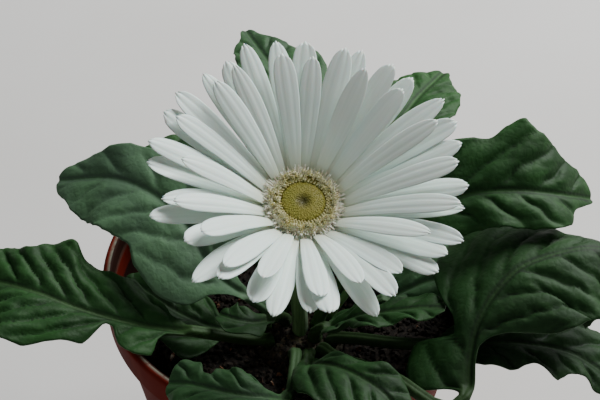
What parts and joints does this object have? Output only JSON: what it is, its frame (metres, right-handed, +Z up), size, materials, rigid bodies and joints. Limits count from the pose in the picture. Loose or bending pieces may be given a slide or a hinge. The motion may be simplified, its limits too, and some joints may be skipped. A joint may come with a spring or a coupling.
{
  "type": "potted gerbera",
  "caption": "White gerbera daisy with a leafy rosette, growing in soil in a round plastic pot; stands on its flat foot.",
  "frame": {"origin": "middle of the pot's flat underside, on the surface that it stands on", "axes": "+Z up along the pot's axis; +X to the right and +Y away from the viewer, with the bloom's face leaning toward -Y"},
  "size_m": [0.2266, 0.1611, 0.2042],
  "materials": {
    "pot": "matte",
    "soil": "matte",
    "rootstock": "matte",
    "leaf": "satin",
    "scape": "satin",
    "involucre": "matte",
    "ray": "satin",
    "fringe": "satin",
    "disc_floret": "matte",
    "disc_bud": "matte"
  },
  "bodies": {
    "root": {"pot": "pot", "soil": "soil", "rootstock": "rootstock", "leaf_01": "leaf", "leaf_02": "leaf", "leaf_03": "leaf", "leaf_04": "leaf", "leaf_05": "leaf", "leaf_06": "leaf", "leaf_07": "leaf", "leaf_08": "leaf", "leaf_09": "leaf", "leaf_10": "leaf", "leaf_11": "leaf", "leaf_12": "leaf", "leaf_13": "leaf", "leaf_14": "leaf", "leaf_15": "leaf", "scape": "scape", "involucre": "involucre", "ray_florets": "ray", "trans_florets": "fringe", "disc_florets": "disc_floret", "disc_buds": "disc_bud"}
  },
  "joints": []
}
